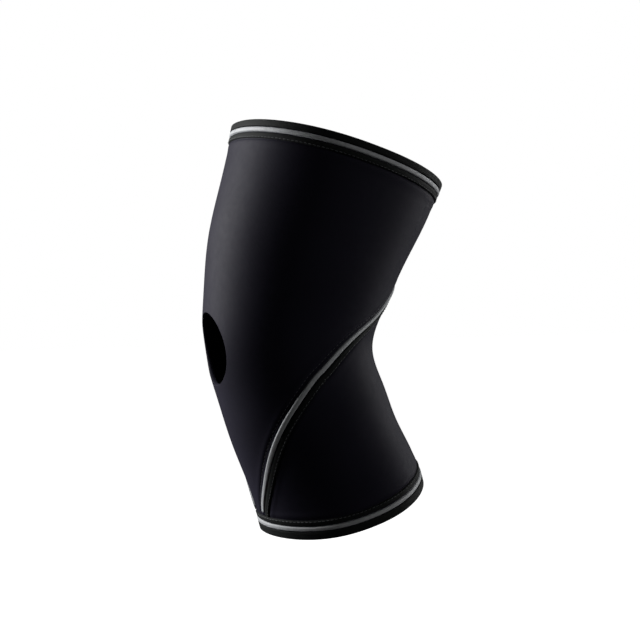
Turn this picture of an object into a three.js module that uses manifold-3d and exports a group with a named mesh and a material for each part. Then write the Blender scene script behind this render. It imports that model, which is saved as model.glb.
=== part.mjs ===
// Pull-on knee sleeve of neoprene, in the slightly bent form that it has when worn, in millimetres.
// +Z runs up the sleeve, the front of the knee faces -Y, and the two sides are alike about X = 0.
// The origin is the middle of the knee inside the sleeve, just below the kneecap opening's centre.
// A place on the neoprene's outer face is given by a height and an angle: the height is that of the
// section's middle above the knee, and the angle goes round the sleeve from 0 at the front.

import * as THREE from "three";
import { mergeVertices } from "three/addons/utils/BufferGeometryUtils.js";
import Module from "manifold-3d";

// The worn form: the rims' heights from the knee, how far back their middles lie, their tilt, and how
// much less far they reach at the front and back than at the sides
const THIGH_HEIGHT = 143.5;
const SHIN_HEIGHT = 125.5;
const THIGH_SET_BACK = 40.5;
const SHIN_SET_BACK = 44.5;
const THIGH_RIM_TILT_DEG = 17;
const SHIN_RIM_TILT_DEG = 18;
const THIGH_RIM_DIP = 2;
const SHIN_RIM_DIP = 8;

// Outside sizes of the neoprene: depth is front to back, width is side to side
const THIGH_DEPTH = 159.5;
const THIGH_WIDTH = 146;
const KNEE_DEPTH = 123.5;
const KNEE_WIDTH = 113.5;
const CALF_DEPTH = 126;
const CALF_WIDTH = 112.5;
const WALL = 3;

// Clearances: between a trim and the neoprene under it, and between neighbouring pieces edge to edge
const SEAT_GAP = 0.4;
const EDGE_GAP = 0.4;

// The kneecap opening, as it is seen from the front
const OPENING_WIDTH = 53;
const OPENING_HEIGHT = 53;
const OPENING_RISE = 1;

// Edge binding folded over each rim: the visible outer leaves, the hidden inner leaf and the cloth
const THIGH_BINDING_OUTER = 5;
const SHIN_BINDING_OUTER = 6;
const BINDING_INNER = 10;
const BINDING_THICKNESS = 0.9;

// Grey piping, and the flat stitched tape beside it
const PIPING_WIDTH = 3.4;
const PIPING_HEIGHT = 1.4;
const TAPE_WIDTH = 4.3;
const TAPE_THICKNESS = 0.7;

// Mesh fineness: columns round the sleeve, rows down each panel and stations along the curved joint
const TONGUE_COLUMNS = 1;
const SIDE_COLUMNS = 27;
const FRONT_ROWS = 15;
const CALF_ROWS = 10;
const JOINT_STATIONS = 57;
const OPENING_SIDES = 40;

// Sections of the sleeve, listed from the shin's rim up. along: share of THIGH_HEIGHT above the knee and
// of SHIN_HEIGHT below it; back: share of the set back; depth and width: how far the size has gone from
// the knee's to the thigh's or calf's; tilt: share of the rim's tilt; egg: narrowing of the front;
// square: exponent of the rounded section, where 2 is an ellipse.
const SECTIONS = [
  { along: -1.0, back: 1.0, depth: 0.6, width: 1.0, tilt: -1.0, egg: 0.14, square: 2.2 },
  { along: -0.75, back: 0.795, depth: 0.9, width: 0.85, tilt: -0.75, egg: 0.12, square: 2.05 },
  { along: -0.5, back: 0.475, depth: 0.1, width: 0.6, tilt: -0.5, egg: 0.1, square: 2.1 },
  { along: -0.25, back: 0.225, depth: -0.05, width: 0.3, tilt: -0.25, egg: 0.06, square: 2.15 },
  { along: 0.0, back: 0.02, depth: 0.0, width: 0.0, tilt: 0.0, egg: 0.03, square: 2.2 },
  { along: 0.25, back: 0.15, depth: 0.3, width: 0.28, tilt: 0.25, egg: 0.01, square: 2.15 },
  { along: 0.5, back: 0.39, depth: 0.65, width: 0.6, tilt: 0.5, egg: -0.01, square: 2.1 },
  { along: 0.75, back: 0.72, depth: 0.88, width: 0.84, tilt: 0.75, egg: -0.02, square: 2.1 },
  { along: 1.0, back: 1.0, depth: 1.0, width: 1.0, tilt: 1.0, egg: -0.02, square: 2.2 },
];

// The curved joint between the two panels, on one side of the sleeve, from the shin's hem at the front
// round to the back of the knee. around: degrees from the front; along: height as in SECTIONS.
const JOINT = [
  { around: 5, along: -0.9 },
  { around: 10, along: -0.822 },
  { around: 20, along: -0.717 },
  { around: 40, along: -0.529 },
  { around: 60, along: -0.346 },
  { around: 80, along: -0.186 },
  { around: 100, along: -0.028 },
  { around: 120, along: 0.104 },
  { around: 135, along: 0.185 },
  { around: 150, along: 0.283 },
  { around: 165, along: 0.365 },
  { around: 180, along: 0.4 },
];

const radians = THREE.MathUtils.degToRad;

// A value that belongs to the thigh above the knee and to the shin below it
const bySide = (along, thigh, shin) => (along >= 0 ? thigh : shin);
const heightAt = (along) => along * bySide(along, THIGH_HEIGHT, SHIN_HEIGHT);

// Natural cubic spline through the values at the knots
function spline(knots, values) {
  const last = knots.length - 1;
  const bend = knots.map(() => 0);
  const sweep = knots.map(() => 0);
  const slope = (i) => (values[i] - values[i - 1]) / (knots[i] - knots[i - 1]);
  for (let i = 1; i < last; i++) {
    const span = knots[i + 1] - knots[i - 1];
    const share = (knots[i] - knots[i - 1]) / span;
    const pivot = share * bend[i - 1] + 2;
    bend[i] = (share - 1) / pivot;
    sweep[i] = ((6 * (slope(i + 1) - slope(i))) / span - share * sweep[i - 1]) / pivot;
  }
  for (let i = last - 1; i > 0; i--) {
    bend[i] = bend[i] * bend[i + 1] + sweep[i];
  }
  bend[0] = 0;
  return (x) => {
    let i = 1;
    while (i < last && x > knots[i]) i++;
    const step = knots[i] - knots[i - 1];
    const a = (knots[i] - x) / step;
    const b = 1 - a;
    const sag = ((a ** 3 - a) * bend[i - 1] + (b ** 3 - b) * bend[i]) * step * step;
    return a * values[i - 1] + b * values[i] + sag / 6;
  };
}

const sectionSpline = (value) => spline(SECTIONS.map((s) => heightAt(s.along)), SECTIONS.map(value));
const fromKnee = (share, along, knee, thigh, calf) => knee + share * (bySide(along, thigh, calf) - knee);

const setBack = sectionSpline((s) => s.back * bySide(s.along, THIGH_SET_BACK, SHIN_SET_BACK));
const depth = sectionSpline((s) => fromKnee(s.depth, s.along, KNEE_DEPTH, THIGH_DEPTH, CALF_DEPTH));
const width = sectionSpline((s) => fromKnee(s.width, s.along, KNEE_WIDTH, THIGH_WIDTH, CALF_WIDTH));
const tilt = sectionSpline((s) => radians(s.tilt * bySide(s.along, THIGH_RIM_TILT_DEG, SHIN_RIM_TILT_DEG)));
const egg = sectionSpline((s) => s.egg);
const square = sectionSpline((s) => s.square);

// Point of the neoprene's outer face
function skin(height, angle) {
  const power = 2 / square(height);
  const round = (value) => Math.sign(value) * Math.abs(value) ** power;
  const ahead = round(Math.cos(angle));
  const aside = round(Math.sin(angle)) * (1 - egg(height) * ahead);
  const forward = (depth(height) / 2) * ahead;
  return new THREE.Vector3(
    (width(height) / 2) * aside,
    setBack(height) - forward * Math.cos(tilt(height)),
    height + forward * Math.sin(tilt(height)),
  );
}

// How a point of that face moves for a millimetre of height and for a radian of angle
const PROBE = 0.01;
const climb = (height, angle) =>
  skin(height + PROBE, angle).sub(skin(height - PROBE, angle)).divideScalar(2 * PROBE);
const circle = (height, angle) =>
  skin(height, angle + PROBE).sub(skin(height, angle - PROBE)).divideScalar(2 * PROBE);

// Point at a distance outside the neoprene's outer face, or inside it where the distance is negative
function lifted(height, angle, distance) {
  const outward = circle(height, angle).cross(climb(height, angle)).normalize();
  return skin(height, angle).addScaledVector(outward, distance);
}

// The two rims: which way is away from the knee, their reach and dip, and their binding's outer leaf
const RIM = {
  top: { away: 1, reach: THIGH_HEIGHT, dip: THIGH_RIM_DIP, leaf: THIGH_BINDING_OUTER },
  bottom: { away: -1, reach: SHIN_HEIGHT, dip: SHIN_RIM_DIP, leaf: SHIN_BINDING_OUTER },
};

// Height of the place that lies a distance in from a rim, measured along the face
function inward(rim, angle, distance) {
  const { away, reach, dip } = RIM[rim];
  const steps = 4;
  let height = away * (reach - dip * Math.cos(angle) ** 2);
  for (let i = 0; i < steps; i++) {
    height -= (away * distance) / steps / climb(height, angle).length();
  }
  return height;
}

// Distances in from a rim at which its pieces begin and end
const PANEL_EDGE = BINDING_THICKNESS + SEAT_GAP;
const pipingStart = (rim) => RIM[rim].leaf + EDGE_GAP;
const tapeStart = (rim) => pipingStart(rim) + PIPING_WIDTH + EDGE_GAP;
const bandEnd = (rim) => tapeStart(rim) + TAPE_WIDTH;
const WIDEST_BAND = Math.max(bandEnd("top"), bandEnd("bottom"));

// The curved joint's height at any angle: its rows go up one side and down the other
const mirrored = JOINT.slice(0, -1).reverse().map((row) => ({ ...row, around: 360 - row.around }));
const wholeJoint = [...JOINT, ...mirrored];
const jointSpline = spline(
  wholeJoint.map((row) => radians(row.around)),
  wholeJoint.map((row) => heightAt(row.along)),
);
const JOINT_START = radians(JOINT[0].around);
const JOINT_END = 2 * Math.PI - JOINT_START;

// Place at a distance across the joint, which is positive towards the thigh
function acrossJoint(angle, distance) {
  const height = jointSpline(angle);
  const rise = (jointSpline(angle + PROBE) - jointSpline(angle - PROBE)) / (2 * PROBE);
  const upLength = climb(height, angle).length();
  const roundLength = circle(height, angle).length();
  const along = new THREE.Vector2(roundLength, rise * upLength).normalize();
  return {
    height: height + (distance * along.x) / upLength,
    angle: angle - (distance * along.y) / roundLength,
  };
}

// Height on one column at a distance across the joint
function besideJoint(angle, distance) {
  const shifted = acrossJoint(angle, distance);
  const rise = (jointSpline(angle + PROBE) - jointSpline(angle - PROBE)) / (2 * PROBE);
  return shifted.height + (angle - shifted.angle) * rise;
}

// Closed body swept through sections that all have the same number of points. A section runs along one
// face and comes back along the other, so an open sweep's ends are capped between its two faces.
function sweep(sections, closed) {
  const size = sections[0].length;
  const positions = sections.flat().flatMap((point) => [point.x, point.y, point.z]);
  const index = [];
  const quad = (a, b, c, d) => index.push(a, b, c, a, c, d);
  const joined = closed ? sections.length : sections.length - 1;
  for (let i = 0; i < joined; i++) {
    const here = i * size;
    const next = ((i + 1) % sections.length) * size;
    for (let j = 0; j < size; j++) {
      const k = (j + 1) % size;
      quad(here + j, next + j, next + k, here + k);
    }
  }
  if (!closed) {
    const end = (sections.length - 1) * size;
    for (let j = 0; j < size / 2 - 1; j++) {
      const k = size - 1 - j;
      quad(j, j + 1, k - 1, k);
      quad(end + k, end + k - 1, end + j + 1, end + j);
    }
  }
  const geometry = new THREE.BufferGeometry();
  geometry.setAttribute("position", new THREE.Float32BufferAttribute(positions, 3));
  geometry.setIndex(index);
  return geometry;
}

// Angles of the columns round the sleeve: a few on the tongue, then even steps to the back
function columnAngles() {
  const half = [];
  for (let i = 1; i <= TONGUE_COLUMNS; i++) half.push((JOINT_START * i) / TONGUE_COLUMNS);
  for (let i = 1; i < SIDE_COLUMNS; i++) {
    half.push(JOINT_START + ((Math.PI - JOINT_START) * i) / SIDE_COLUMNS);
  }
  return [0, ...half, Math.PI, ...half.toReversed().map((angle) => 2 * Math.PI - angle)];
}
const COLUMNS = columnAngles();

// Section of a panel on one column: rows up the outer face and back down the inner one. The rows lie
// closer at both ends, so that the face under the trims stays true.
function panelSection(angle, low, high, rows) {
  const margin = Math.min((WIDEST_BAND - PANEL_EDGE) / climb(low, angle).length(), (high - low) / 3);
  const heights = [low, low + margin / 2];
  for (let i = 0; i < rows - 4; i++) {
    heights.push(THREE.MathUtils.lerp(low + margin, high - margin, i / (rows - 5)));
  }
  heights.push(high - margin / 2, high);
  const outer = heights.map((height) => lifted(height, angle, 0));
  const inner = heights.map((height) => lifted(height, angle, -WALL)).reverse();
  return [...outer, ...inner];
}

// Angle that makes a distance round the shin's hem at the tongue's edge
const hemAngle = (distance) => distance / circle(inward("bottom", JOINT_START, 0), JOINT_START).length();

function solidOf(geometry, wasm) {
  geometry.deleteAttribute("normal");
  geometry.deleteAttribute("uv");
  const merged = mergeVertices(geometry, 1e-4);
  const vertProperties = merged.attributes.position.array;
  const triVerts = new Uint32Array(merged.index.array);
  return new wasm.Manifold(new wasm.Mesh({ numProp: 3, vertProperties, triVerts }));
}

function geometryOf(solid) {
  const { vertProperties, triVerts } = solid.getMesh();
  const geometry = new THREE.BufferGeometry();
  geometry.setAttribute("position", new THREE.Float32BufferAttribute(vertProperties, 3));
  geometry.setIndex([...triVerts]);
  return geometry;
}

// Neoprene over the thigh, the front of the knee and, as a tongue, the front of the shin
function frontPanel(wasm) {
  const tongueEdge = JOINT_START - hemAngle(EDGE_GAP);
  const hem = (angle) => inward("bottom", angle, PANEL_EDGE);
  const top = (angle) => inward("top", angle, PANEL_EDGE);
  const section = (angle, low) => panelSection(angle, low, top(angle), FRONT_ROWS);
  const sections = [];
  for (const angle of COLUMNS) {
    const onTongue = angle < tongueEdge || angle > 2 * Math.PI - tongueEdge;
    const low = onTongue ? hem(angle) : besideJoint(angle, EDGE_GAP / 2);
    if (angle === JOINT_START) sections.push(section(tongueEdge, hem(tongueEdge)));
    sections.push(section(angle, low));
    if (angle === JOINT_END) sections.push(section(2 * Math.PI - tongueEdge, hem(2 * Math.PI - tongueEdge)));
  }
  const outline = new THREE.Shape();
  outline.absellipse(0, OPENING_RISE, OPENING_WIDTH / 2, OPENING_HEIGHT / 2, 0, 2 * Math.PI);
  const cutter = new THREE.ExtrudeGeometry(outline, {
    depth: KNEE_DEPTH,
    bevelEnabled: false,
    curveSegments: OPENING_SIDES,
  });
  cutter.rotateX(Math.PI / 2);
  const panel = solidOf(sweep(sections, true), wasm);
  return geometryOf(panel.subtract(solidOf(cutter, wasm)));
}

// Neoprene round the calf and up to the back of the knee
function calfPanel() {
  const start = JOINT_START + hemAngle(EDGE_GAP);
  const angles = COLUMNS.filter((angle) => angle > start && angle < 2 * Math.PI - start);
  const sections = [start, ...angles, 2 * Math.PI - start].map((angle) => {
    const low = inward("bottom", angle, PANEL_EDGE);
    return panelSection(angle, low, besideJoint(angle, -EDGE_GAP / 2), CALF_ROWS);
  });
  return sweep(sections, false);
}

// Body that follows a rim: a profile of distances in from the rim and out from the face
function rimSweep(rim, profile) {
  const inOrder = rim === "top" ? profile : [...profile].reverse();
  const sections = COLUMNS.map((angle) =>
    inOrder.map(([along, out]) => lifted(inward(rim, angle, along), angle, out)),
  );
  return sweep(sections, true);
}

// Tape folded over the neoprene's edge
function binding(rim) {
  const { leaf } = RIM[rim];
  const outer = SEAT_GAP + BINDING_THICKNESS;
  const inner = -WALL - outer;
  const round = BINDING_THICKNESS / 2;
  return rimSweep(rim, [
    [leaf, SEAT_GAP],
    [leaf, outer],
    [round, outer],
    [0, outer - round],
    [0, inner + round],
    [round, inner],
    [BINDING_INNER, inner],
    [BINDING_INNER, -WALL - SEAT_GAP],
    [BINDING_THICKNESS, -WALL - SEAT_GAP],
    [BINDING_THICKNESS, SEAT_GAP],
  ]);
}

// Profiles of the trims across their width, from one edge over the outside to the other
const PIPING_PROFILE = [
  { across: 0, out: 0 },
  { across: 0.1, out: 0.7 },
  { across: 0.32, out: 1 },
  { across: 0.68, out: 1 },
  { across: 0.9, out: 0.7 },
  { across: 1, out: 0 },
];
const TAPE_PROFILE = [
  { across: 0, out: 0 },
  { across: 0, out: 1 },
  { across: 1, out: 1 },
  { across: 1, out: 0 },
];

// Trim that lies round a rim, from a distance in from it
function rimTrim(rim, trim, start) {
  const points = trim.profile.map((p) => [start + p.across * trim.width, SEAT_GAP + p.out * trim.height]);
  return rimSweep(rim, points.reverse());
}

// Trim that lies along the curved joint, from a distance across it. Its ends stop at the shin's band.
function jointTrim(trim, start) {
  const bandTop = (angle) => inward("bottom", angle, bandEnd("bottom") + EDGE_GAP);
  let first = JOINT_START;
  while (jointSpline(first) < bandTop(first) + trim.width / 2) first += PROBE;
  const sections = [];
  for (let i = 0; i < JOINT_STATIONS; i++) {
    const angle = THREE.MathUtils.lerp(first, 2 * Math.PI - first, i / (JOINT_STATIONS - 1));
    const points = trim.profile.map((p) => {
      const place = acrossJoint(angle, start + p.across * trim.width);
      const height = Math.max(place.height, bandTop(place.angle));
      return lifted(height, place.angle, SEAT_GAP + p.out * trim.height);
    });
    sections.push(points);
  }
  return sweep(sections, false);
}

const neoprene = new THREE.MeshStandardMaterial({ color: 0x2f2e34, roughness: 0.85, metalness: 0 });
const blackTape = new THREE.MeshStandardMaterial({ color: 0x272827, roughness: 0.8, metalness: 0 });
const greyPiping = new THREE.MeshStandardMaterial({ color: 0xa2a5a7, roughness: 0.6, metalness: 0 });

const sleeve = new THREE.Group();
function addPiece(name, geometry, material) {
  const mesh = new THREE.Mesh(geometry, material);
  mesh.name = name;
  sleeve.add(mesh);
}

const wasm = await Module();
wasm.setup();

addPiece("front_panel", frontPanel(wasm), neoprene);
addPiece("calf_panel", calfPanel(), neoprene);
const PIPING = { profile: PIPING_PROFILE, width: PIPING_WIDTH, height: PIPING_HEIGHT };
const TAPE = { profile: TAPE_PROFILE, width: TAPE_WIDTH, height: TAPE_THICKNESS };
for (const rim of ["top", "bottom"]) {
  addPiece(`${rim}_binding`, binding(rim), blackTape);
  addPiece(`${rim}_piping`, rimTrim(rim, PIPING, pipingStart(rim)), greyPiping);
  addPiece(`${rim}_seam_tape`, rimTrim(rim, TAPE, tapeStart(rim)), blackTape);
}
addPiece("calf_piping", jointTrim(PIPING, -PIPING_WIDTH / 2), greyPiping);
addPiece("calf_seam_tape", jointTrim(TAPE, -PIPING_WIDTH / 2 - EDGE_GAP - TAPE_WIDTH), blackTape);

export default sleeve;
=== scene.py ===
"""Looks of a pull-on neoprene knee sleeve, made around the frame of its CAD solids.

Shapes are worked out in millimetres from the same sizes as the solids, and turned into metres when a mesh
is made. +Z runs up the sleeve, the front of the knee faces -Y, and the two sides are alike about X = 0.
A place on the neoprene's outer face is a height above the knee and an angle round the sleeve from the
front. Arrays of places are worked out together.
"""
import math

import bpy
import numpy as np
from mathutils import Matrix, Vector
from mathutils.kdtree import KDTree


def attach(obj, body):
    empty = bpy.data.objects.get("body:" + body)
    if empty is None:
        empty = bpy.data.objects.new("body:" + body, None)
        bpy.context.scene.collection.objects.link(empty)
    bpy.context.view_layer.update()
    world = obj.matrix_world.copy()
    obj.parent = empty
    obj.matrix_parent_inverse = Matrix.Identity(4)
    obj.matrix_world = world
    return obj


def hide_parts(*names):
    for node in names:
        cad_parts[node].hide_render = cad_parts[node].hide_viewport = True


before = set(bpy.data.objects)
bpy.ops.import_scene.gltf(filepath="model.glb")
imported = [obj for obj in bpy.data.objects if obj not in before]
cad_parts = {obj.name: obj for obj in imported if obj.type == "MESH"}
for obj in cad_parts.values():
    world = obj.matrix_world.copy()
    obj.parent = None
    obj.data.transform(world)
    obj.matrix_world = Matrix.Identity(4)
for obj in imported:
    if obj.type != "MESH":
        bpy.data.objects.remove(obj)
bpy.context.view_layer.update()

MM = 0.001

# The worn form: the rims' heights from the knee, how far back their middles lie, their tilt, and how
# much less far they reach at the front and back than at the sides
THIGH_HEIGHT = 143.5
SHIN_HEIGHT = 125.5
THIGH_SET_BACK = 40.5
SHIN_SET_BACK = 44.5
THIGH_RIM_TILT_DEG = 17
SHIN_RIM_TILT_DEG = 18
THIGH_RIM_DIP = 2
SHIN_RIM_DIP = 8

# Outside sizes of the neoprene: depth is front to back, width is side to side
THIGH_DEPTH = 159.5
THIGH_WIDTH = 146
KNEE_DEPTH = 123.5
KNEE_WIDTH = 113.5
CALF_DEPTH = 126
CALF_WIDTH = 112.5
WALL = 3

# The kneecap opening, as it is seen from the front
OPENING_WIDTH = 53
OPENING_HEIGHT = 53
OPENING_RISE = 1

# Trims: binding folded over each rim, piping beside it, and a stitched tape beside the piping.
# Shoulders are exponents of a trim's crown, where a higher one is flatter on top.
THIGH_BINDING_OUTER = 5
SHIN_BINDING_OUTER = 6
BINDING_INNER = 10
BINDING_LIFT = 1.3
BINDING_THICKNESS = 1.05
BINDING_FOLD = 1.1
PIPING_WIDTH = 3.4
PIPING_HEIGHT = 1.35
PIPING_SHOULDER = 4
TAPE_WIDTH = 4.3
TAPE_HEIGHT = 1.05
TAPE_SHOULDER = 3
TRIM_GAP = 0.4
SUNK = 0.25
JOINT_TAPE_START = PIPING_WIDTH / 2 + TRIM_GAP

# Ends of the joint's trims and stitch rows above the shin's band: their gaps to it, the room for a cut end,
# and how narrow a rounded end may get, as the square of a share
JOINT_END_GAP = 0.9
CUT_END_ROOM = 1
BAND_CLEARANCE = 0.1
ROW_END_GAP = 0.6
LEAST_PINCH = 0.02

# Stitching: pitch, thread, and the places of its rows
STITCH_PITCH = 3.1
STITCH_LENGTH = 2.2
STITCH_POINTS = 7
THREAD_RADIUS = 0.22
THREAD_SIDES = 6
TAPE_STITCH_INSET = 0.9
TAPE_STITCH_LIFT = TAPE_HEIGHT * 0.9
FRONT_STITCH_ACROSS = 4.1
FRONT_STITCH_LIFT = -0.2

# Mesh fineness
PANEL_COLUMNS = 300
MIDDLE_ROWS = 44
TRIM_COLUMNS = 480
JOINT_COLUMNS = 330
JOINT_END_COLUMNS = 10
CROWN_POINTS = 14
RIM_LINE = 1500
FINE_LINE = 4000
SEAM_POINTS = 2400

# Sections of the sleeve from the shin's rim up, with lengths as shares of the sizes above
SECTIONS = [
    dict(along=-1.0, back=1.0, depth=0.6, width=1.0, tilt=-1.0, egg=0.14, square=2.2),
    dict(along=-0.75, back=0.795, depth=0.9, width=0.85, tilt=-0.75, egg=0.12, square=2.05),
    dict(along=-0.5, back=0.475, depth=0.1, width=0.6, tilt=-0.5, egg=0.1, square=2.1),
    dict(along=-0.25, back=0.225, depth=-0.05, width=0.3, tilt=-0.25, egg=0.06, square=2.15),
    dict(along=0.0, back=0.02, depth=0.0, width=0.0, tilt=0.0, egg=0.03, square=2.2),
    dict(along=0.25, back=0.15, depth=0.3, width=0.28, tilt=0.25, egg=0.01, square=2.15),
    dict(along=0.5, back=0.39, depth=0.65, width=0.6, tilt=0.5, egg=-0.01, square=2.1),
    dict(along=0.75, back=0.72, depth=0.88, width=0.84, tilt=0.75, egg=-0.02, square=2.1),
    dict(along=1.0, back=1.0, depth=1.0, width=1.0, tilt=1.0, egg=-0.02, square=2.2),
]

# The curved joint between the panels, on one side: degrees from the front, and height as a share
JOINT = [
    dict(around=5, along=-0.9),
    dict(around=10, along=-0.822),
    dict(around=20, along=-0.717),
    dict(around=40, along=-0.529),
    dict(around=60, along=-0.346),
    dict(around=80, along=-0.186),
    dict(around=100, along=-0.028),
    dict(around=120, along=0.104),
    dict(around=135, along=0.185),
    dict(around=150, along=0.283),
    dict(around=165, along=0.365),
    dict(around=180, along=0.4),
]


# The neoprene's outer face

def by_side(along, thigh, shin):
    """The thigh's value from the knee up, and the shin's below it."""
    return thigh if along >= 0 else shin


def height_at(along):
    return along * by_side(along, THIGH_HEIGHT, SHIN_HEIGHT)


def spline(knots, values):
    """Natural cubic spline through the values at the knots, as a function of an array."""
    knots = np.asarray(knots, float)
    values = np.asarray(values, float)
    last = len(knots) - 1
    slope = np.diff(values) / np.diff(knots)
    bend = np.zeros(last + 1)
    sweep = np.zeros(last + 1)
    for i in range(1, last):
        span = knots[i + 1] - knots[i - 1]
        share = (knots[i] - knots[i - 1]) / span
        pivot = share * bend[i - 1] + 2
        bend[i] = (share - 1) / pivot
        sweep[i] = (6 * (slope[i] - slope[i - 1]) / span - share * sweep[i - 1]) / pivot
    for i in range(last - 1, 0, -1):
        bend[i] = bend[i] * bend[i + 1] + sweep[i]

    def at(x):
        x = np.asarray(x, float)
        i = np.clip(np.searchsorted(knots, x), 1, last)
        step = knots[i] - knots[i - 1]
        a = (knots[i] - x) / step
        b = 1 - a
        sag = ((a**3 - a) * bend[i - 1] + (b**3 - b) * bend[i]) * step**2
        return a * values[i - 1] + b * values[i] + sag / 6

    return at


def section_spline(value):
    return spline([height_at(s["along"]) for s in SECTIONS], [value(s) for s in SECTIONS])


def from_knee(share, along, knee, thigh, calf):
    return knee + share * (by_side(along, thigh, calf) - knee)


set_back = section_spline(lambda s: s["back"] * by_side(s["along"], THIGH_SET_BACK, SHIN_SET_BACK))
depth = section_spline(lambda s: from_knee(s["depth"], s["along"], KNEE_DEPTH, THIGH_DEPTH, CALF_DEPTH))
width = section_spline(lambda s: from_knee(s["width"], s["along"], KNEE_WIDTH, THIGH_WIDTH, CALF_WIDTH))
tilt = section_spline(
    lambda s: math.radians(s["tilt"] * by_side(s["along"], THIGH_RIM_TILT_DEG, SHIN_RIM_TILT_DEG))
)
egg = section_spline(lambda s: s["egg"])
square = section_spline(lambda s: s["square"])


def skin(height, angle):
    """Points of the neoprene's outer face."""
    height, angle = np.broadcast_arrays(np.asarray(height, float), np.asarray(angle, float))
    power = 2 / square(height)
    ahead = np.sign(np.cos(angle)) * np.abs(np.cos(angle)) ** power
    aside = np.sign(np.sin(angle)) * np.abs(np.sin(angle)) ** power * (1 - egg(height) * ahead)
    forward = depth(height) / 2 * ahead
    x = width(height) / 2 * aside
    y = set_back(height) - forward * np.cos(tilt(height))
    z = height + forward * np.sin(tilt(height))
    return np.stack([x, y, z], -1)


# Small step in height, or in radians of angle, over which slopes are measured
PROBE = 0.02


def climb(height, angle):
    """How a point moves for a millimetre of height."""
    return (skin(height + PROBE, angle) - skin(height - PROBE, angle)) / (2 * PROBE)


def circle(height, angle):
    """How a point moves for a radian of angle."""
    return (skin(height, angle + PROBE) - skin(height, angle - PROBE)) / (2 * PROBE)


def length(vectors):
    return np.linalg.norm(vectors, axis=-1)


def outward(height, angle):
    normals = np.cross(circle(height, angle), climb(height, angle))
    return normals / length(normals)[..., None]


def lifted(height, angle, distance):
    """Points at a distance outside the neoprene's outer face, or inside it where it is negative."""
    height, angle, distance = np.broadcast_arrays(height, angle, distance)
    return skin(height, angle) + outward(height, angle) * distance[..., None]


# The rims: which way is away from the knee, their reach and dip, and their binding's outer leaf
RIM = dict(
    top=dict(away=1, reach=THIGH_HEIGHT, dip=THIGH_RIM_DIP, leaf=THIGH_BINDING_OUTER),
    bottom=dict(away=-1, reach=SHIN_HEIGHT, dip=SHIN_RIM_DIP, leaf=SHIN_BINDING_OUTER),
)


def inward(rim, angle, distance):
    """Heights of the places that lie a distance in from a rim, measured along the face."""
    steps = 6
    away, reach, dip = (RIM[rim][key] for key in ("away", "reach", "dip"))
    angle, distance = np.broadcast_arrays(np.asarray(angle, float), np.asarray(distance, float))
    height = away * (reach - dip * np.cos(angle) ** 2)
    for _ in range(steps):
        height = height - away * distance / steps / length(climb(height, angle))
    return height


def piping_start(rim):
    return RIM[rim]["leaf"] + TRIM_GAP


def tape_start(rim):
    return piping_start(rim) + PIPING_WIDTH + TRIM_GAP


def band_end(rim):
    return tape_start(rim) + TAPE_WIDTH


MIRRORED = [dict(row, around=360 - row["around"]) for row in JOINT[-2::-1]]
joint_height = spline(
    [math.radians(row["around"]) for row in JOINT + MIRRORED],
    [height_at(row["along"]) for row in JOINT + MIRRORED],
)
JOINT_START = math.radians(JOINT[0]["around"])
TURN = 2 * math.pi


def joint_rise(angle):
    return (joint_height(angle + PROBE) - joint_height(angle - PROBE)) / (2 * PROBE)


def across_joint(angle, distance):
    """Heights and angles at a distance across the joint, which is positive towards the thigh."""
    angle, distance = np.broadcast_arrays(np.asarray(angle, float), np.asarray(distance, float))
    height = joint_height(angle)
    up = length(climb(height, angle))
    round_by = length(circle(height, angle))
    rise = joint_rise(angle) * up
    size = np.hypot(round_by, rise)
    return height + distance * round_by / size / up, angle - distance * rise / size / round_by


def beside_joint(angle, distance):
    """Heights on the same columns at a distance across the joint."""
    height, shifted = across_joint(angle, distance)
    return height + (angle - shifted) * joint_rise(angle)


# Meshes

def make_mesh(name, points, faces, material, uvs=None):
    """Object from points in millimetres, with smooth faces and, if given, a UV for each point."""
    mesh = bpy.data.meshes.new(name)
    mesh.from_pydata((np.asarray(points) * MM).tolist(), [], faces)
    mesh.update()
    mesh.shade_smooth()
    if uvs is not None:
        corners = np.empty(len(mesh.loops), dtype=np.int32)
        mesh.loops.foreach_get("vertex_index", corners)
        layer = mesh.uv_layers.new(name="cloth")
        layer.uv.foreach_set("vector", np.asarray(uvs, dtype=np.float32)[corners].ravel())
    mesh.materials.append(material)
    piece = bpy.data.objects.new(name, mesh)
    bpy.context.scene.collection.objects.link(piece)
    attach(piece, "root")
    return piece


def face_out(points, faces):
    """The faces, turned round if the body that they close is inside out."""
    p = np.asarray(points)
    volume = 0.0
    for face in faces:
        for k in range(1, len(face) - 1):
            a, b, c = p[face[0]], p[face[k]], p[face[k + 1]]
            volume += a @ np.cross(b, c)
    return faces if volume > 0 else [tuple(reversed(face)) for face in faces]


def sweep_faces(stations, size, closed):
    """Quads of a closed profile swept through stations, and caps at the ends of an open sweep."""
    faces = []
    for i in range(stations if closed else stations - 1):
        here, there = i * size, (i + 1) % stations * size
        for j in range(size):
            k = (j + 1) % size
            faces.append((here + j, there + j, there + k, here + k))
    if not closed:
        end = (stations - 1) * size
        faces.append(tuple(range(size)))
        faces.append(tuple(end + j for j in reversed(range(size))))
    return faces


def sweep(name, points, closed, material):
    """Body swept through an array of sections of points, with UVs in millimetres along and across."""
    stations, size = points.shape[:2]
    along = np.concatenate([[0], np.cumsum(length(np.diff(points.mean(1), axis=0)))])
    across = np.concatenate([[0], np.cumsum(length(np.diff(points[0], axis=0)))])
    uvs = np.stack(np.broadcast_arrays(along[:, None], across[None, :]), -1).reshape(-1, 2)
    flat = points.reshape(-1, 3)
    faces = face_out(flat, sweep_faces(stations, size, closed))
    return make_mesh(name, flat, faces, material, uvs)


# Materials

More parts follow.
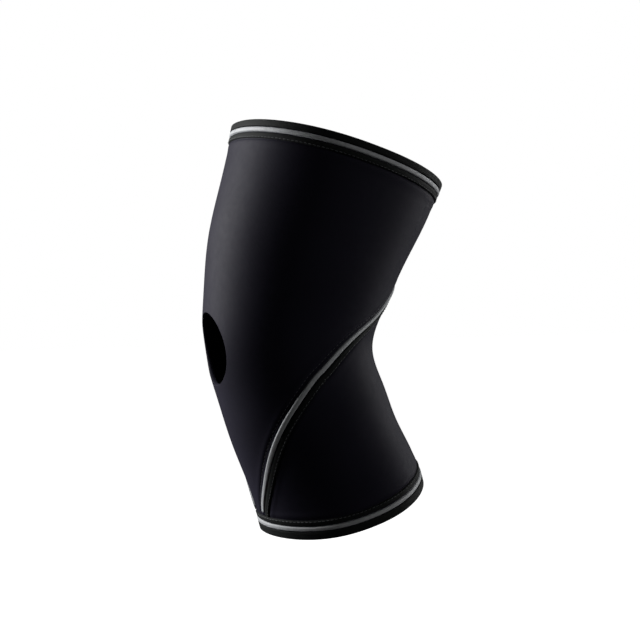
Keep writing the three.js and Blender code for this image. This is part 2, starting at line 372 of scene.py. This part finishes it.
def new_material(name, base, roughness, specular, sheen, sheen_roughness, sheen_tint):
    material = bpy.data.materials.new(name)
    material.use_nodes = True
    shader = material.node_tree.nodes["Principled BSDF"]
    shader.inputs["Base Color"].default_value = (*base, 1)
    shader.inputs["Roughness"].default_value = roughness
    shader.inputs["Specular IOR Level"].default_value = specular
    shader.inputs["Sheen Weight"].default_value = sheen
    shader.inputs["Sheen Roughness"].default_value = sheen_roughness
    shader.inputs["Sheen Tint"].default_value = (*sheen_tint, 1)
    return material, shader


class Nodes:
    """Short forms for the nodes of one material."""

    def __init__(self, material):
        self.tree = material.node_tree

    def add(self, kind, **values):
        node = self.tree.nodes.new("ShaderNode" + kind)
        for key, value in values.items():
            setattr(node, key, value)
        return node

    def link(self, source, target):
        self.tree.links.new(source, target)

    def math(self, operation, a, b=None):
        node = self.add("Math", operation=operation)
        for socket, value in zip(node.inputs, (a, b)):
            if value is None:
                continue
            if isinstance(value, (int, float)):
                socket.default_value = value
            else:
                self.link(value, socket)
        return node.outputs[0]

    def noise(self, vector, scale, detail):
        node = self.add("TexNoise")
        node.inputs["Scale"].default_value = scale
        node.inputs["Detail"].default_value = detail
        self.link(vector, node.inputs["Vector"])
        return node.outputs["Fac"]

    def between(self, share, low, high):
        """A number or colour that goes from low to high with the share."""
        ramp = self.add("ValToRGB")
        for element, value in zip(ramp.color_ramp.elements, (low, high)):
            element.color = (*value, 1) if isinstance(value, tuple) else (value, value, value, 1)
        self.link(share, ramp.inputs["Fac"])
        return ramp.outputs["Color"]

    def bump(self, height, distance, strength, after=None):
        node = self.add("Bump")
        node.inputs["Distance"].default_value = distance
        node.inputs["Strength"].default_value = strength
        self.link(height, node.inputs["Height"])
        if after is not None:
            self.link(after, node.inputs["Normal"])
        return node.outputs["Normal"]

    def uv(self):
        split = self.add("SeparateXYZ")
        self.link(self.add("UVMap", uv_map="cloth").outputs["UV"], split.inputs[0])
        return split.outputs["X"], split.outputs["Y"]


def knit_height(nodes, pitch):
    """Height of a jersey knit: columns of V shaped loops, in millimetres of the UV map."""
    u, v = nodes.uv()
    wale = nodes.math("FRACT", nodes.math("DIVIDE", u, pitch))
    arm = nodes.math("ABSOLUTE", nodes.math("SUBTRACT", wale, 0.5))
    course = nodes.math("ADD", nodes.math("DIVIDE", v, pitch * 0.8), nodes.math("MULTIPLY", arm, 1.2))
    loops = nodes.math("SINE", nodes.math("MULTIPLY", course, TURN))
    groove = nodes.math("SINE", nodes.math("MULTIPLY", wale, math.pi))
    return nodes.math("MULTIPLY", nodes.math("ADD", loops, 1.5), groove)


def neoprene_material():
    shade = (0.0102, 0.0094, 0.017)
    material, shader = new_material(
        "neoprene",
        shade,
        roughness=0.6,
        specular=0.065,
        sheen=0.03,
        sheen_roughness=0.4,
        sheen_tint=(0.8, 0.77, 1),
    )
    nodes = Nodes(material)
    place = nodes.add("TexCoord").outputs["Object"]
    patches = nodes.between(nodes.noise(place, 35, 4), (0.0082, 0.0075, 0.0137), (0.0122, 0.0113, 0.0204))
    nodes.link(patches, shader.inputs["Base Color"])
    nodes.link(nodes.between(nodes.noise(place, 260, 3), 0.55, 0.69), shader.inputs["Roughness"])
    fuzz = nodes.bump(nodes.noise(place, 2600, 2), distance=4e-5, strength=0.35)
    knit = nodes.bump(knit_height(nodes, pitch=0.9), distance=3e-5, strength=0.5, after=fuzz)
    nodes.link(knit, shader.inputs["Normal"])
    return material


def tape_material(name, dark, light, roughness, specular, sheen, rib_pitch, rib_depth):
    """Woven tape: ribs across its length and a fine twill in them, both from the UV map."""
    material, shader = new_material(
        name,
        light,
        roughness=roughness,
        specular=specular,
        sheen=sheen,
        sheen_roughness=0.4,
        sheen_tint=(0.9, 0.92, 1),
    )
    nodes = Nodes(material)
    place = nodes.add("TexCoord").outputs["Object"]
    u, v = nodes.uv()
    ribs = nodes.math("SINE", nodes.math("MULTIPLY", u, TURN / rib_pitch))
    twill = nodes.math("SINE", nodes.math("MULTIPLY", nodes.math("ADD", u, v), TURN / (rib_pitch * 0.6)))
    weave = nodes.math("ADD", nodes.math("MULTIPLY", ribs, 0.7), nodes.math("MULTIPLY", twill, 0.3))
    share = nodes.math("ADD", nodes.math("MULTIPLY", weave, 0.25), nodes.noise(place, 420, 3))
    nodes.link(nodes.between(share, dark, light), shader.inputs["Base Color"])
    nodes.link(nodes.bump(weave, distance=rib_depth, strength=0.6), shader.inputs["Normal"])
    return material


def thread_material():
    material, shader = new_material(
        "thread",
        (0.075, 0.078, 0.083),
        roughness=0.5,
        specular=0.2,
        sheen=0.05,
        sheen_roughness=0.4,
        sheen_tint=(1, 1, 1),
    )
    nodes = Nodes(material)
    place = nodes.add("TexCoord").outputs["Object"]
    strands = nodes.between(nodes.noise(place, 900, 2), (0.055, 0.057, 0.061), (0.095, 0.099, 0.105))
    nodes.link(strands, shader.inputs["Base Color"])
    return material


neoprene = neoprene_material()
black_tape = tape_material(
    "black_tape",
    dark=(0.006, 0.007, 0.0067),
    light=(0.012, 0.0135, 0.0128),
    roughness=0.68,
    specular=0.07,
    sheen=0.03,
    rib_pitch=0.9,
    rib_depth=9e-5,
)
grey_piping = tape_material(
    "grey_piping",
    dark=(0.28, 0.291, 0.3),
    light=(0.47, 0.482, 0.49),
    roughness=0.5,
    specular=0.25,
    sheen=0.4,
    rib_pitch=0.8,
    rib_depth=1e-4,
)
thread = thread_material()


# Distances from the seams, which the neoprene's relief follows

class SeamCurve:
    """A seam as close points, to find how far other points are from it and how far along it."""

    def __init__(self, height, angle):
        self.points = skin(height, angle)
        self.along = np.concatenate([[0], np.cumsum(length(np.diff(self.points, axis=0)))])
        self.tree = KDTree(len(self.points))
        for i, point in enumerate(self.points):
            self.tree.insert(point, i)
        self.tree.balance()

    def measure(self, points):
        found = [self.tree.find(point) for point in points]
        return np.array([f[2] for f in found]), self.along[[f[1] for f in found]]


joint_angles = np.linspace(JOINT_START, TURN - JOINT_START, SEAM_POINTS)
rim_angles = np.linspace(0, TURN, SEAM_POINTS)
joint_seam = SeamCurve(joint_height(joint_angles), joint_angles)
rim_seams = {rim: SeamCurve(inward(rim, rim_angles, 0), rim_angles) for rim in RIM}


# Grooves and swellings beside a rim's band, the joint's tape and a stitch row in plain neoprene: how far on
# from it each lies, its spread, and how far it stands out. Puckered ones rise and fall with the stitches.
BAND_RELIEF = [
    dict(on=0.35, spread=0.6, out=-0.4, puckered=False),
    dict(on=3.2, spread=2.0, out=0.3, puckered=False),
    dict(on=1.3, spread=0.9, out=0.12, puckered=True),
]
TAPE_RELIEF = [
    dict(on=0.35, spread=0.6, out=-0.4, puckered=False),
    dict(on=3.0, spread=2.0, out=0.28, puckered=False),
    dict(on=1.3, spread=0.9, out=0.12, puckered=True),
]
ROW_RELIEF = [
    dict(on=0.0, spread=0.6, out=-0.35, puckered=False),
    dict(on=-1.4, spread=0.7, out=0.15, puckered=False),
    dict(on=2.6, spread=2.0, out=0.25, puckered=False),
]


def relief_beside(seam, start, rows, points):
    """How far points stand out beside a seam, by a table whose distances count on from the start."""
    far, along = seam.measure(points)
    pucker = 0.5 + 0.5 * np.cos(TURN * along / STITCH_PITCH)
    out = np.zeros(len(points))
    for row in rows:
        rise = row["out"] * np.exp(-(((far - start - row["on"]) / row["spread"]) ** 2))
        out += rise * pucker if row["puckered"] else rise
    return out


def relief(points, tape_side):
    """How far the neoprene stands out where stitching pulls it in and it swells beside the stitches."""
    if tape_side:
        out = relief_beside(joint_seam, JOINT_TAPE_START + TAPE_WIDTH, TAPE_RELIEF, points)
    else:
        out = relief_beside(joint_seam, FRONT_STITCH_ACROSS, ROW_RELIEF, points)
    for rim in RIM:
        out += relief_beside(rim_seams[rim], band_end(rim), BAND_RELIEF, points)
    return out


# Neoprene panels

# Distances of the rows from the joint, from a rim under its trims, and past the end of its band
SEAM_ROWS = (
    0.15, 1.2, 2, 2.7, 3.1, 3.5, 3.8, 4.1, 4.4, 4.8,
    5.3, 5.9, 6.3, 6.7, 7.1, 7.6, 8.3, 9.3, 11, 13.5,
)
TRIM_ROWS = (1, 6, 10)
BAND_ROWS = (-1.1, -0.6, -0.3, 0, 0.3, 0.6, 1, 1.5, 2.3, 3.5, 5.1, 7.5, 10.5)
FURTHER_BAND_ROWS = (13.5, 16.5, 19.5, 22.5)

# The patch of mesh round the kneecap opening: how far it goes to each side, below and above the opening,
# and its rings' places as shares of the way out from the opening's edge
PATCH_REACH_DEG = 40
PATCH_BELOW = 12
PATCH_ABOVE = 8
OPENING_RINGS = (0, 0.012, 0.035, 0.08, 0.16, 0.28, 0.42, 0.56, 0.7, 0.85)

# The opening's cut edge of foam, whose middle stands a little proud of the two jersey faces: shares of the
# way through the wall, and how far the edge bulges there
CUT_EDGE = [(0.04, -0.1), (0.14, 0.1), (0.32, 0.24), (0.5, 0.28), (0.68, 0.24), (0.86, 0.1), (0.96, -0.1)]

# The slit between the tongue's edge and the calf panel's end
TONGUE_GAP_DEG = 0.4


def panel_rows(low_ends, high_ends):
    """Heights of a panel's rows on each column, close together at its seams."""
    low, high = low_ends[:, -1:], high_ends[:, -1:]
    share = np.linspace(0, 1, MIDDLE_ROWS + 2)[None, 1:-1]
    return np.concatenate([low_ends, low + (high - low) * share, high_ends[:, ::-1]], axis=1)


def rows_from_rim(rim, angle, band_rows=BAND_ROWS):
    distances = np.array([*TRIM_ROWS, *(band_end(rim) + row for row in band_rows)])
    return inward(rim, angle[:, None], distances[None, :])


def rows_from_joint(angle, side):
    return beside_joint(angle[:, None], side * np.array(SEAM_ROWS)[None, :])


def opening_edge(polar):
    """Heights and angles of the kneecap opening's edge at polar angles seen from the front.

    Each step moves the places along the face by what they still miss in X and Z.
    """
    steps = 30
    x = OPENING_WIDTH / 2 * np.cos(polar)
    z = OPENING_RISE + OPENING_HEIGHT / 2 * np.sin(polar)
    height = np.zeros_like(x)
    angle = x / (KNEE_WIDTH / 2)
    for _ in range(steps):
        miss = skin(height, angle) - np.stack([x, x, z], -1)
        up, round_by = climb(height, angle), circle(height, angle)
        scale = up[:, 0] * round_by[:, 2] - up[:, 2] * round_by[:, 0]
        height = height - (miss[:, 0] * round_by[:, 2] - miss[:, 2] * round_by[:, 0]) / scale
        angle = angle - (up[:, 0] * miss[:, 2] - up[:, 2] * miss[:, 0]) / scale
    return height, angle


class Shell:
    """A panel's outer and inner faces, point for point alike, with the borders between them."""

    def __init__(self):
        self.height = []
        self.angle = []
        self.faces = []
        self.count = 0

    def add_points(self, height, angle):
        first = self.count
        self.height.append(np.ravel(height))
        self.angle.append(np.ravel(angle))
        self.count += np.size(height)
        return first + np.arange(np.size(height)).reshape(np.shape(height))

    def quad(self, a, b, c, d):
        self.faces.append((a, b, c, d))

    def build(self, name, material, borders, tape_side):
        """The panel's mesh. Its borders are loops of point numbers, each with the steps of its edge."""
        height, angle = np.concatenate(self.height), np.concatenate(self.angle)
        used = sorted({i for face in self.faces for i in face})
        renumber = {old: new for new, old in enumerate(used)}
        height, angle = height[used], angle[used]
        plain = skin(height, angle)
        outer = lifted(height, angle, relief(plain, tape_side))
        inner = lifted(height, angle, np.full(len(used), -float(WALL)))
        points = [*outer, *inner]
        total = len(used)
        faces = [tuple(renumber[i] for i in face) for face in self.faces]
        faces += [tuple(total + i for i in reversed(face)) for face in faces[:]]
        uvs = np.stack([angle * KNEE_WIDTH / 2, height], -1)
        uvs = [*uvs, *uvs]
        for loop, middle_steps in borders:
            loop = [renumber[i] for i in loop]
            rings = [loop]
            for share, bulge in middle_steps:
                start = len(points)
                for i, follower in zip(loop, loop[1:] + loop[:1]):
                    ahead = outer[follower] - outer[i]
                    across = np.cross(ahead, outer[i] - inner[i])
                    across = across / np.linalg.norm(across)
                    points.append(outer[i] * (1 - share) + inner[i] * share + across * bulge)
                    uvs.append(uvs[i])
                rings.append(list(range(start, start + len(loop))))
            rings.append([total + i for i in loop])
            for ring, below in zip(rings, rings[1:]):
                for k in range(len(loop)):
                    m = (k + 1) % len(loop)
                    faces.append((ring[m], ring[k], below[k], below[m]))
        return make_mesh(name, points, faces, material, uvs)


def front_panel():
    """Neoprene over the thigh, the front of the knee and, as a tongue, the shin's front."""
    shell = Shell()
    half = np.linspace(0, math.pi, PANEL_COLUMNS // 2 + 1)
    angle = np.concatenate([-half[:0:-1], half])[:-1]
    positive = np.abs(angle)
    on_tongue = positive < JOINT_START
    joint_rows = rows_from_joint(np.where(on_tongue, JOINT_START, positive), 1)
    hem_rows = rows_from_rim("bottom", angle, BAND_ROWS + FURTHER_BAND_ROWS)
    low_ends = np.where(on_tongue[:, None], hem_rows, joint_rows)
    heights = panel_rows(low_ends, rows_from_rim("top", angle))
    columns, rows = heights.shape
    grid = shell.add_points(heights, np.broadcast_to(angle[:, None], heights.shape))

    # The patch round the kneecap opening, as ranges of columns and rows
    front = int(np.argmin(np.abs(angle)))
    reach = int(math.radians(PATCH_REACH_DEG) / (angle[1] - angle[0]))
    first, last = front - reach, front + reach
    on_front = heights[front]
    bottom = int(np.searchsorted(on_front, OPENING_RISE - OPENING_HEIGHT / 2 - PATCH_BELOW))
    top = int(np.searchsorted(on_front, OPENING_RISE + OPENING_HEIGHT / 2 + PATCH_ABOVE))
    for i in range(columns):
        k = (i + 1) % columns
        for j in range(rows - 1):
            if first <= i < last and bottom <= j < top:
                continue
            shell.quad(grid[i, j], grid[k, j], grid[k, j + 1], grid[i, j + 1])
    border = [(i, bottom) for i in range(first, last)] + [(last, j) for j in range(bottom, top)]
    border += [(i, top) for i in range(last, first, -1)] + [(first, j) for j in range(top, bottom, -1)]
    outer_ring = np.array([grid[i, j] for i, j in border])
    ring_height = np.array([heights[i, j] for i, j in border])
    ring_angle = np.array([angle[i] for i, j in border])
    seen = skin(ring_height, ring_angle)
    polar = np.unwrap(np.arctan2(seen[:, 2] - OPENING_RISE, seen[:, 0]))
    even = np.linspace(polar[0], polar[0] + TURN, len(polar), endpoint=False)
    edge_height, edge_angle = opening_edge(0.5 * polar + 0.5 * even)
    rings = []
    for share in OPENING_RINGS:
        rings.append(
            shell.add_points(
                edge_height + (ring_height - edge_height) * share,
                edge_angle + (ring_angle - edge_angle) * share,
            )
        )
    rings.append(outer_ring)
    for near, far in zip(rings, rings[1:]):
        for k in range(len(near)):
            m = (k + 1) % len(near)
            shell.quad(near[k], far[k], far[m], near[m])
    borders = [
        (list(grid[:, 0]), []),
        (list(grid[::-1, -1]), []),
        (list(rings[0][::-1]), CUT_EDGE),
    ]
    return shell.build("front_panel_neoprene", neoprene, borders, False)


def calf_panel():
    """Neoprene round the calf and up to the back of the knee."""
    shell = Shell()
    start = JOINT_START + math.radians(TONGUE_GAP_DEG)
    angle = np.linspace(start, TURN - start, PANEL_COLUMNS)
    low_ends = rows_from_rim("bottom", angle)
    high_ends = rows_from_joint(angle, -1)
    # Columns near the tongue's lower end are short, so their rows are shared out evenly
    heights = panel_rows(low_ends, high_ends)
    rows = heights.shape[1]
    even = np.linspace(low_ends[:, 0], high_ends[:, 0], rows, axis=1)
    room = (high_ends[:, 0] - low_ends[:, 0])[:, None]
    needed = band_end("bottom") + BAND_ROWS[-1] + SEAM_ROWS[-1] * 2
    share = np.clip((room - needed) / needed, 0, 1)
    heights = even * (1 - share) + heights * share
    columns = len(angle)
    grid = shell.add_points(heights, np.broadcast_to(angle[:, None], heights.shape))
    for i in range(columns - 1):
        for j in range(rows - 1):
            shell.quad(grid[i, j], grid[i + 1, j], grid[i + 1, j + 1], grid[i, j + 1])
    loop = [*grid[:, 0], *grid[-1, 1:], *grid[-2::-1, -1], *grid[0, -2:0:-1]]
    return shell.build("calf_panel_neoprene", neoprene, [(loop, [])], True)


# Trims

def arc(centre, radius, start, end, count):
    """Points of an arc in a profile, as distances across and out."""
    turn = np.radians(np.linspace(start, end, count))
    return [(centre[0] + radius * math.cos(t), centre[1] + radius * math.sin(t)) for t in turn]


def crowned(trim_width, height, shoulder):
    """Profile of a soft flat trim, from 0 to its width: a crown over a sunken base."""
    share = np.linspace(0, 1, CROWN_POINTS)
    rise = np.sqrt(np.abs(1 - np.abs(2 * share - 1) ** shoulder))
    return [(trim_width, -SUNK), (0, -SUNK)] + [(trim_width * s, height * r) for s, r in zip(share, rise)]


PIPING_PROFILE = crowned(PIPING_WIDTH, PIPING_HEIGHT, PIPING_SHOULDER)
TAPE_PROFILE = crowned(TAPE_WIDTH, TAPE_HEIGHT, TAPE_SHOULDER)


def binding_profile(leaf):
    """Tape folded over the neoprene's edge, from its visible leaf round the fold to its hidden one."""
    outer, inner = BINDING_LIFT, -WALL - BINDING_LIFT
    middle = (outer + inner) / 2
    half = (outer - inner) / 2
    corner = 0.45
    points = [(leaf, outer - BINDING_THICKNESS)]
    points += arc((leaf - corner, outer - corner), corner, 0, 90, 5)
    points += [(leaf * share, outer) for share in (0.7, 0.45)]
    for t in np.radians(np.linspace(5, 175, 15)):
        up = math.copysign(abs(math.cos(t)) ** (2 / 3), math.cos(t))
        points.append((BINDING_FOLD * (1 - math.sin(t) ** (2 / 3)), middle + half * up))
    points += [(BINDING_INNER * share, inner) for share in (0.3, 0.6, 0.96)]
    points += [(BINDING_INNER, inner + 0.2), (BINDING_INNER, -WALL + SUNK)]
    points += [(BINDING_FOLD, -WALL + SUNK), (BINDING_FOLD, outer - BINDING_THICKNESS)]
    return points


def rim_trim(name, rim, start, profile, material):
    """A body along a rim, from a profile of distances in from its start and out from the face."""
    angle = np.linspace(0, TURN, TRIM_COLUMNS, endpoint=False)[:, None]
    across, out = np.array(profile).T
    height = inward(rim, angle, start + across[None, :])
    return sweep(name, lifted(height, angle, out[None, :]), True, material)


def joint_trim(name, start, trim_width, profile, material, round_ends):
    """A body along the curved joint. Its ends stop at the shin's band, rounded or cut along it."""
    middle = trim_width / 2
    room = JOINT_END_GAP + (middle if round_ends else CUT_END_ROOM)
    fine = np.linspace(JOINT_START, math.pi, FINE_LINE)
    run = np.concatenate([[0], np.cumsum(length(np.diff(skin(joint_height(fine), fine), axis=0)))])
    begin = run[np.argmax(joint_height(fine) > inward("bottom", fine, band_end("bottom")) + room)]
    near_end = np.linspace(begin, begin + middle, JOINT_END_COLUMNS)
    marks = np.concatenate([near_end[:-1], np.linspace(begin + middle, run[-1], JOINT_COLUMNS)])
    half = np.interp(marks, run, fine)
    angle = np.concatenate([half[:-1], TURN - half[::-1]])
    pinch = np.ones_like(angle)
    if round_ends:
        from_end = np.concatenate([marks[:-1], marks[::-1]]) - begin
        pinch = np.sqrt(np.clip(1 - (1 - np.minimum(from_end / middle, 1)) ** 2, LEAST_PINCH, 1))
    across, out = np.array(profile).T
    height, place = across_joint(angle[:, None], start + middle + (across - middle) * pinch[:, None])
    height = np.maximum(height, inward("bottom", place, band_end("bottom") + BAND_CLEARANCE))
    out = np.where(out > 0, out * np.sqrt(pinch)[:, None], out)
    return sweep(name, lifted(height, place, out), False, material)


# Stitches

def stitch_row(name, height, angle, lift):
    """Thread stitches along a line of places, each short and bowed, with its ends sunk in."""
    line = lifted(height, angle, lift)
    along = np.concatenate([[0], np.cumsum(length(np.diff(line, axis=0)))])
    count = int(round(along[-1] / STITCH_PITCH))
    starts = along[-1] * (np.arange(count) + 0.5) / count - STITCH_LENGTH / 2
    shares = np.linspace(0, 1, STITCH_POINTS)
    bow = THREAD_RADIUS * (np.sin(math.pi * shares) * 1.5 - 0.9)
    turns = TURN * np.arange(THREAD_SIDES) / THREAD_SIDES
    points, faces = [], []
    for start in starts:
        marks = start + STITCH_LENGTH * shares
        h, a = np.interp(marks, along, height), np.interp(marks, along, angle)
        up = outward(h, a)
        centre = lifted(h, a, lift + bow)
        ahead = np.gradient(centre, axis=0)
        side = np.cross(ahead / length(ahead)[:, None], up)
        first = len(points)
        for k in range(STITCH_POINTS):
            for turn in turns:
                points.append(centre[k] + THREAD_RADIUS * (math.cos(turn) * side[k] + math.sin(turn) * up[k]))
        for k in range(STITCH_POINTS - 1):
            here = first + k * THREAD_SIDES
            there = here + THREAD_SIDES
            for t in range(THREAD_SIDES):
                m = (t + 1) % THREAD_SIDES
                faces.append((here + t, here + m, there + m, there + t))
        last = first + (STITCH_POINTS - 1) * THREAD_SIDES
        faces.append(tuple(first + t for t in reversed(range(THREAD_SIDES))))
        faces.append(tuple(last + t for t in range(THREAD_SIDES)))
    return make_mesh(name, points, faces, thread)


def rim_stitches(rim):
    """A row near the far edge of a rim's tape."""
    angle = np.linspace(0, TURN, RIM_LINE)
    height = inward(rim, angle, band_end(rim) - TAPE_STITCH_INSET)
    return stitch_row(f"{rim}_stitches", height, angle, TAPE_STITCH_LIFT)


def joint_stitches(name, across, lift):
    """A row along the joint, down to the shin's band on both sides."""
    fine = np.linspace(JOINT_START, TURN - JOINT_START, FINE_LINE)
    height, angle = across_joint(fine, across)
    keep = height > inward("bottom", angle, band_end("bottom") + ROW_END_GAP)
    return stitch_row(name, height[keep], angle[keep], lift)


# The sleeve

def dress(piece, material_slot, *nodes):
    """The piece, with the solids that it stands for hidden. Its material slot is not used."""
    if nodes:
        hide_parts(*nodes)
    return piece


def dressed_rim(rim):
    """A rim's binding, piping, tape and stitches."""
    edge = rim_trim(f"{rim}_bound_edge", rim, 0, binding_profile(RIM[rim]["leaf"]), black_tape)
    pipe = rim_trim(f"{rim}_grey_piping", rim, piping_start(rim), PIPING_PROFILE, grey_piping)
    tape = rim_trim(f"{rim}_stitched_tape", rim, tape_start(rim), TAPE_PROFILE, black_tape)
    return [
        dress(edge, "black_tape", f"{rim}_binding"),
        dress(pipe, "grey_piping", f"{rim}_piping"),
        dress(tape, "black_tape", f"{rim}_seam_tape"),
        dress(rim_stitches(rim), "black_tape"),
    ]


front = dress(front_panel(), "neoprene", "front_panel")
calf = dress(calf_panel(), "neoprene", "calf_panel")
top_trims = dressed_rim("top")
bottom_trims = dressed_rim("bottom")

calf_pipe = joint_trim("calf_grey_piping", -PIPING_WIDTH / 2, PIPING_WIDTH, PIPING_PROFILE, grey_piping, True)
dress(calf_pipe, "grey_piping", "calf_piping")
calf_tape_edge = -JOINT_TAPE_START - TAPE_WIDTH
calf_tape = joint_trim("calf_stitched_tape", calf_tape_edge, TAPE_WIDTH, TAPE_PROFILE, black_tape, False)
dress(calf_tape, "black_tape", "calf_seam_tape")
calf_row = joint_stitches("calf_stitches", calf_tape_edge + TAPE_STITCH_INSET, TAPE_STITCH_LIFT)
dress(calf_row, "black_tape")
front_row = dress(joint_stitches("front_stitches", FRONT_STITCH_ACROSS, FRONT_STITCH_LIFT), "black_tape")


# Stage, light and camera

# How far the floor lies below the knee, half its side, and the world's light on the sleeve
FLOOR_DROP = 0.47
FLOOR_HALF = 6
AMBIENT = 0.018


def white_floor():
    """A plain white floor. It glows for the camera and throws no light up on the sleeve."""
    material = bpy.data.materials.new("white_floor")
    material.use_nodes = True
    shader = material.node_tree.nodes["Principled BSDF"]
    shader.inputs["Base Color"].default_value = (0.8, 0.8, 0.8, 1)
    shader.inputs["Roughness"].default_value = 0.8
    shader.inputs["Emission Color"].default_value = (1, 1, 1, 1)
    shader.inputs["Emission Strength"].default_value = 1
    mesh = bpy.data.meshes.new("floor")
    corners = [(x * FLOOR_HALF, y * FLOOR_HALF, 0) for x, y in ((-1, -1), (1, -1), (1, 1), (-1, 1))]
    mesh.from_pydata(corners, [], [(0, 1, 2, 3)])
    mesh.materials.append(material)
    floor = bpy.data.objects.new("floor", mesh)
    floor.location = (0, 0, -FLOOR_DROP)
    floor.visible_diffuse = False
    floor.visible_glossy = False
    bpy.context.scene.collection.objects.link(floor)
    return floor


def studio_world():
    """A white background, which lights the sleeve only dimly."""
    world = bpy.data.worlds.new("studio")
    world.use_nodes = True
    tree = world.node_tree
    background = tree.nodes["Background"]
    background.inputs["Color"].default_value = (1, 1, 1, 1)
    strength = tree.nodes.new("ShaderNodeMath")
    strength.operation = "MULTIPLY_ADD"
    strength.inputs[1].default_value = 1 - AMBIENT
    strength.inputs[2].default_value = AMBIENT
    tree.links.new(tree.nodes.new("ShaderNodeLightPath").outputs["Is Camera Ray"], strength.inputs[0])
    tree.links.new(strength.outputs[0], background.inputs["Strength"])
    return world


def direction(azimuth, elevation):
    """Unit vector towards a viewer or light at these angles in degrees, with 0, 0 straight ahead."""
    a, e = math.radians(azimuth), math.radians(elevation)
    return Vector((math.sin(a) * math.cos(e), -math.cos(a) * math.cos(e), math.sin(e)))


def softbox(name, azimuth, elevation, distance, size, power):
    """A rectangular light turned towards the knee, with its distance and size in metres."""
    light = bpy.data.lights.new(name, "AREA")
    light.shape = "RECTANGLE"
    light.size, light.size_y = size
    light.energy = power
    lamp = bpy.data.objects.new(name, light)
    lamp.location = direction(azimuth, elevation) * distance
    lamp.rotation_euler = (-lamp.location).to_track_quat("-Z", "Y").to_euler()
    lamp.visible_camera = False
    bpy.context.scene.collection.objects.link(lamp)


white_floor()
bpy.context.scene.world = studio_world()
softbox("key_softbox", azimuth=-33, elevation=17, distance=0.9, size=(0.55, 0.65), power=19)
softbox("back_softbox", azimuth=188, elevation=10, distance=1.3, size=(0.6, 1), power=9)
softbox("fill_softbox", azimuth=138, elevation=10, distance=1.3, size=(0.9, 0.7), power=3.6)

# The camera's angles in degrees, distance and view in metres, and how far its aim is from the origin
VIEW_AZIMUTH = 70
VIEW_ELEVATION = 4.5
VIEW_DISTANCE = 0.85
VIEW_WIDTH = 0.4736
AIM_RIGHT = 0.0245
AIM_UP = 0.0207
SENSOR = 36

camera_data = bpy.data.cameras.new("camera")
camera_data.sensor_width = SENSOR
camera_data.lens = SENSOR * VIEW_DISTANCE / VIEW_WIDTH
camera = bpy.data.objects.new("camera", camera_data)
towards_camera = direction(VIEW_AZIMUTH, VIEW_ELEVATION)
right = Vector((math.cos(math.radians(VIEW_AZIMUTH)), math.sin(math.radians(VIEW_AZIMUTH)), 0))
aim = right * AIM_RIGHT + towards_camera.cross(right) * AIM_UP
camera.location = towards_camera * VIEW_DISTANCE
camera.rotation_euler = (aim - camera.location).to_track_quat("-Z", "Y").to_euler()
bpy.context.scene.collection.objects.link(camera)
bpy.context.scene.camera = camera
bpy.context.scene.view_settings.view_transform = "Standard"
